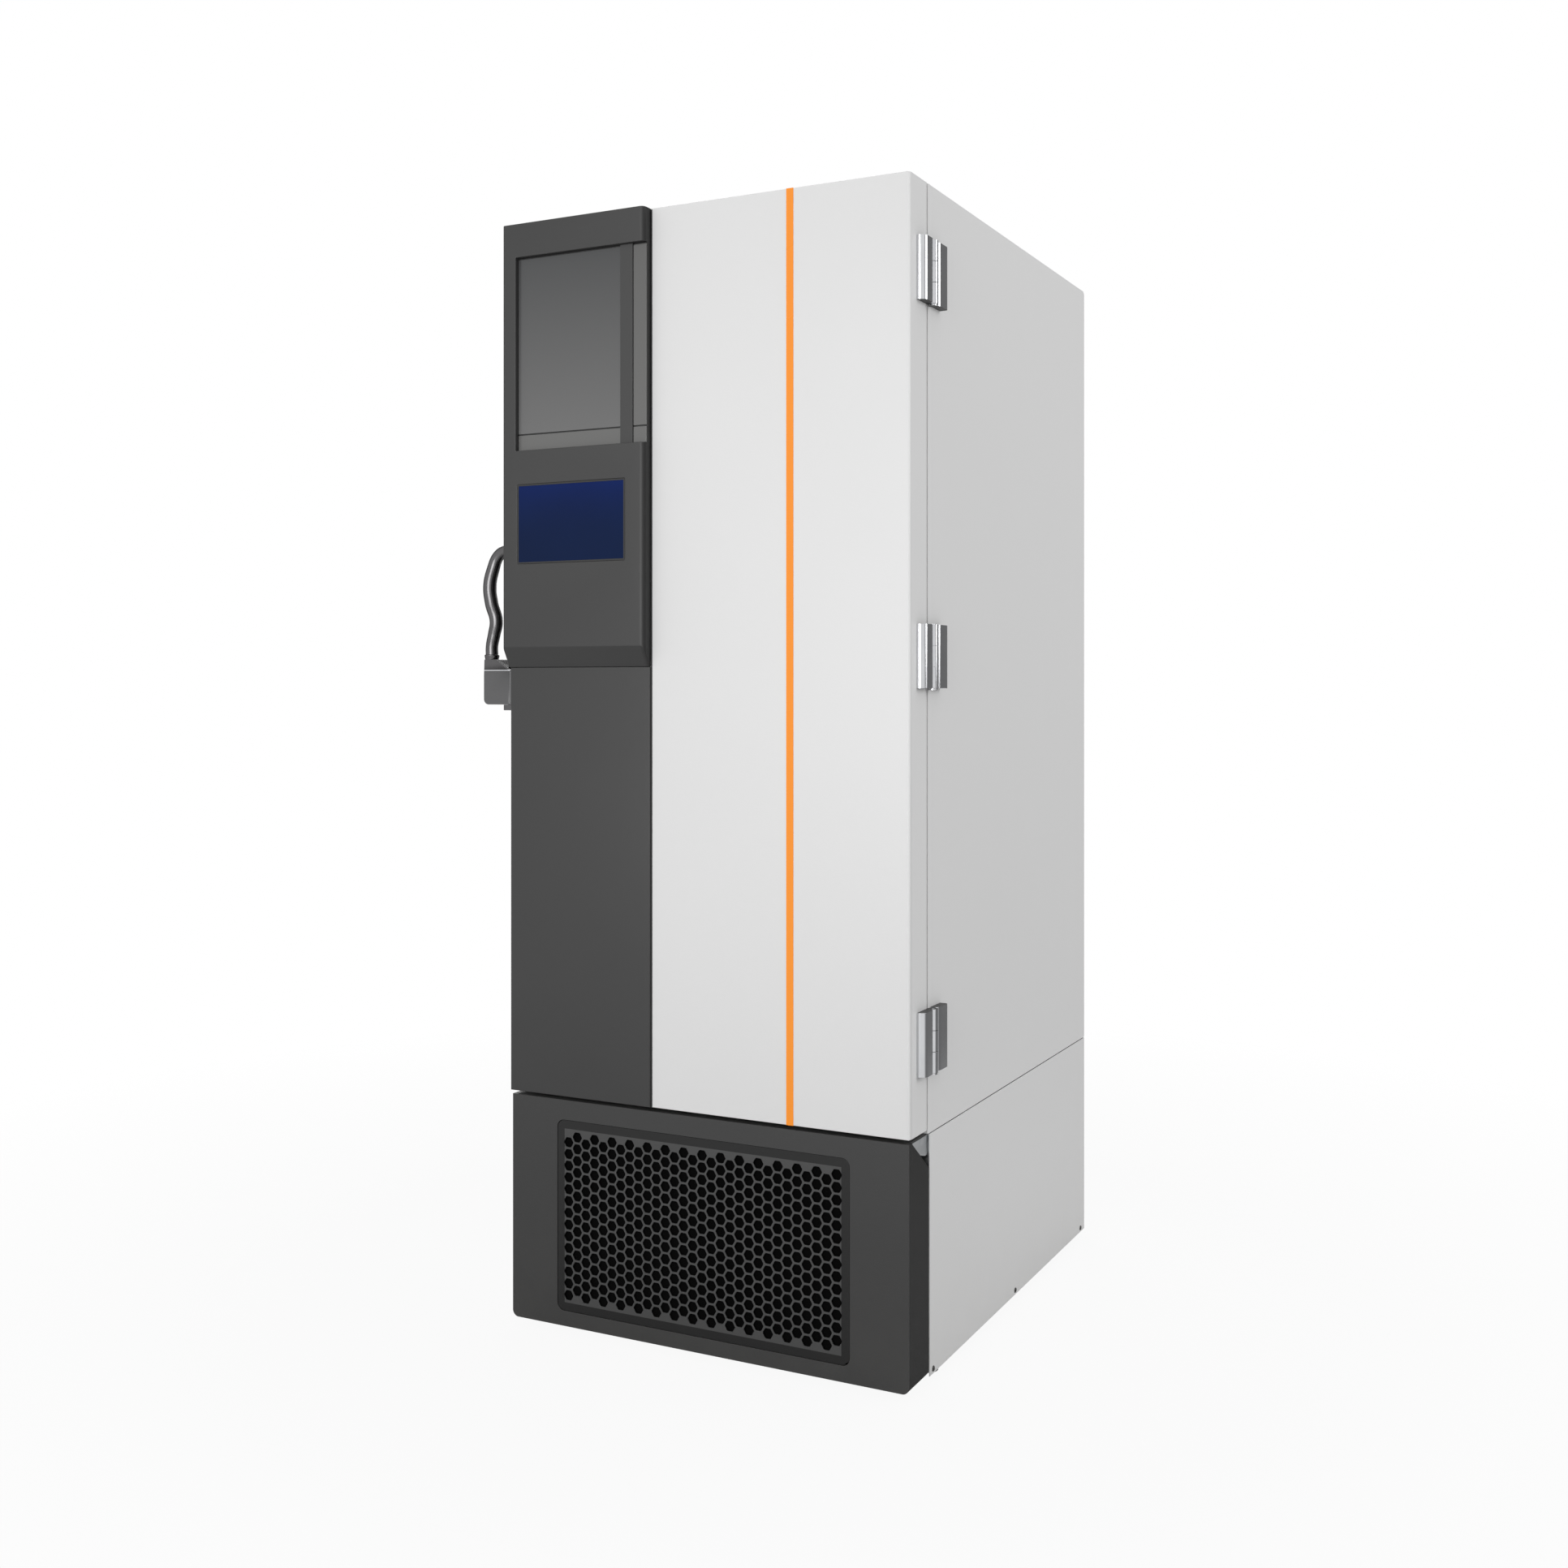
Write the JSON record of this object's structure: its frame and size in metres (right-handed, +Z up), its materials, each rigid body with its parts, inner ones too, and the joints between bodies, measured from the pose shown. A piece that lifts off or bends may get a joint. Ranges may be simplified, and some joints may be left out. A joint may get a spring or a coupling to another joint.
{
  "type": "ultra low temperature freezer",
  "caption": "Upright ultra low temperature freezer: insulated swing door with lever latch and console, inner doors, shelves, and a cooling unit behind a hinged perforated grille.",
  "frame": {"origin": "centre of the bounding box in X and Y, at floor level under the casters and feet", "axes": "+Z up, -Y towards the door's front, +X towards the door's hinges"},
  "size_m": [0.8684, 1.009, 1.97],
  "materials": {
    "white_enamel": "satin powder coat",
    "galvanised_steel": "zinc coated sheet",
    "stainless_steel": "fine brushed",
    "insulation": "expanded polyurethane foam",
    "vacuum_foil": "metallised foil",
    "copper_tube": "drawn copper",
    "chrome": "polished",
    "dark_chrome": "polished, smoked",
    "charcoal_plastic": "fine grain",
    "graphite_cover": "fine grain",
    "orange_trim": "gloss",
    "smoked_window": "gloss",
    "screen_glass": "gloss",
    "gasket_rubber": "matt",
    "white_plastic": "thermoformed",
    "black_enamel": "semi gloss",
    "condenser_fins": "thin sheet",
    "fan_plastic": "moulded",
    "dark_steel": "semi gloss",
    "filter_mesh": "open foam mat",
    "caster_rubber": "matt",
    "screw_black": "black oxide"
  },
  "bodies": {
    "cabinet": {"base_pan": "galvanised_steel", "base_frame": "galvanised_steel", "lower_side_panels": "white_enamel", "rear_service_panel": "white_enamel", "outer_shell": "white_enamel", "rear_panel": "galvanised_steel", "cabinet_floor": "galvanised_steel", "front_frame": "white_plastic", "insulation_foam": "insulation", "vacuum_panels": "vacuum_foil", "inner_liner": "stainless_steel", "evaporator_coil": "copper_tube", "shelf_supports": "stainless_steel", "shelves": "stainless_steel", "inner_hinge_brackets": "stainless_steel", "cabinet_hinge_leaves": "chrome", "latch_striker": "chrome", "compressors": "black_enamel", "condenser": "condenser_fins", "fan_shroud": "dark_steel", "fan_motor": "black_enamel", "heat_exchanger": "stainless_steel", "refrigerant_pipes": "copper_tube", "control_box": "galvanised_steel", "power_inlet": "fan_plastic", "rear_bumpers": "caster_rubber", "caster_plates": "galvanised_steel", "cover_hinge_brackets": "galvanised_steel", "panel_screws": "screw_black"},
    "door": {"door_shell": "white_enamel", "door_foam": "insulation", "door_liner": "white_plastic", "door_gasket": "gasket_rubber", "accent_strip": "orange_trim", "lower_panel": "charcoal_plastic", "console_housing": "charcoal_plastic", "console_window": "smoked_window", "touch_screen": "screen_glass", "door_hinge_leaves": "chrome", "handle_base": "dark_chrome"},
    "lever": {"handle_bar": "dark_chrome", "handle_block": "charcoal_plastic"},
    "lock": {"lock_barrel": "chrome"},
    "inner_door_top": {"inner_door_upper": "white_plastic"},
    "inner_door_bottom": {"inner_door_lower": "white_plastic"},
    "grille_cover": {"base_cover": "graphite_cover", "front_grille": "graphite_cover", "air_filter": "filter_mesh"},
    "fan": {"fan_blades": "fan_plastic"},
    "rocker": {"power_rocker": "fan_plastic"},
    "foot_left": {"levelling_foot_left": "dark_steel"},
    "foot_right": {"levelling_foot_right": "dark_steel"},
    "caster_1": {"caster_fork_1": "galvanised_steel"},
    "wheel_1": {"caster_wheel_1": "caster_rubber"},
    "caster_2": {"caster_fork_2": "galvanised_steel"},
    "wheel_2": {"caster_wheel_2": "caster_rubber"},
    "caster_3": {"caster_fork_3": "galvanised_steel"},
    "wheel_3": {"caster_wheel_3": "caster_rubber"},
    "caster_4": {"caster_fork_4": "galvanised_steel"},
    "wheel_4": {"caster_wheel_4": "caster_rubber"}
  },
  "joints": [
    {"name": "door_swing", "type": "hinge", "parent": "cabinet", "child": "door", "pos_m": [0.42575, -0.4035, 0], "axis": [0, 0, 1], "range_deg": [0, 110]},
    {"name": "inner_upper_swing", "type": "hinge", "parent": "cabinet", "child": "inner_door_top", "pos_m": [0.27375, -0.3868, 0], "axis": [0, 0, 1], "range_deg": [0, 99]},
    {"name": "inner_lower_swing", "type": "hinge", "parent": "cabinet", "child": "inner_door_bottom", "pos_m": [0.27375, -0.3868, 0], "axis": [0, 0, 1], "range_deg": [0, 99]},
    {"name": "lever_turn", "type": "hinge", "parent": "door", "child": "lever", "pos_m": [-0.37425, -0.4585, 0], "axis": [0, 0, 1], "range_deg": [0, 50]},
    {"name": "lock_turn", "type": "hinge", "parent": "lever", "child": "lock", "pos_m": [-0.42625, -0.4485, 1.15393], "axis": [1, 0, 0], "range_deg": [0, 90]},
    {"name": "cover_swing", "type": "hinge", "parent": "cabinet", "child": "grille_cover", "pos_m": [0.40375, -0.4105, 0], "axis": [0, 0, 1], "range_deg": [0, 95]},
    {"name": "fan_spin", "type": "hinge", "parent": "cabinet", "child": "fan", "pos_m": [0.02875, -0.3072, 0.249], "axis": [0, 1, 0], "continuous": true},
    {"name": "rocker_tilt", "type": "hinge", "parent": "cabinet", "child": "rocker", "pos_m": [0.25675, 0.4615, 0.215], "axis": [1, 0, 0], "range_deg": [-18, 0]},
    {"name": "foot_left_height", "type": "slide", "parent": "cabinet", "child": "foot_left", "axis": [0, 0, 1], "range_m": [0, 0.02]},
    {"name": "foot_right_height", "type": "slide", "parent": "cabinet", "child": "foot_right", "axis": [0, 0, 1], "range_m": [0, 0.02]},
    {"name": "caster_swivel_1", "type": "hinge", "parent": "cabinet", "child": "caster_1", "pos_m": [-0.22825, -0.2955, 0], "axis": [0, 0, 1], "continuous": true},
    {"name": "wheel_roll_1", "type": "hinge", "parent": "caster_1", "child": "wheel_1", "pos_m": [-0.22825, -0.2735, 0.0375], "axis": [1, 0, 0], "continuous": true},
    {"name": "caster_swivel_2", "type": "hinge", "parent": "cabinet", "child": "caster_2", "pos_m": [0.28675, -0.2955, 0], "axis": [0, 0, 1], "continuous": true},
    {"name": "wheel_roll_2", "type": "hinge", "parent": "caster_2", "child": "wheel_2", "pos_m": [0.28675, -0.2735, 0.0375], "axis": [1, 0, 0], "continuous": true},
    {"name": "caster_swivel_3", "type": "hinge", "parent": "cabinet", "child": "caster_3", "pos_m": [-0.22825, 0.3545, 0], "axis": [0, 0, 1], "continuous": true},
    {"name": "wheel_roll_3", "type": "hinge", "parent": "caster_3", "child": "wheel_3", "pos_m": [-0.22825, 0.3765, 0.0375], "axis": [1, 0, 0], "continuous": true},
    {"name": "caster_swivel_4", "type": "hinge", "parent": "cabinet", "child": "caster_4", "pos_m": [0.28675, 0.3545, 0], "axis": [0, 0, 1], "continuous": true},
    {"name": "wheel_roll_4", "type": "hinge", "parent": "caster_4", "child": "wheel_4", "pos_m": [0.28675, 0.3765, 0.0375], "axis": [1, 0, 0], "continuous": true}
  ],
  "couplings": [
    {"joint": "inner_upper_swing", "follows": "door_swing", "ratio": 0.9},
    {"joint": "inner_lower_swing", "follows": "door_swing", "ratio": 0.9}
  ]
}
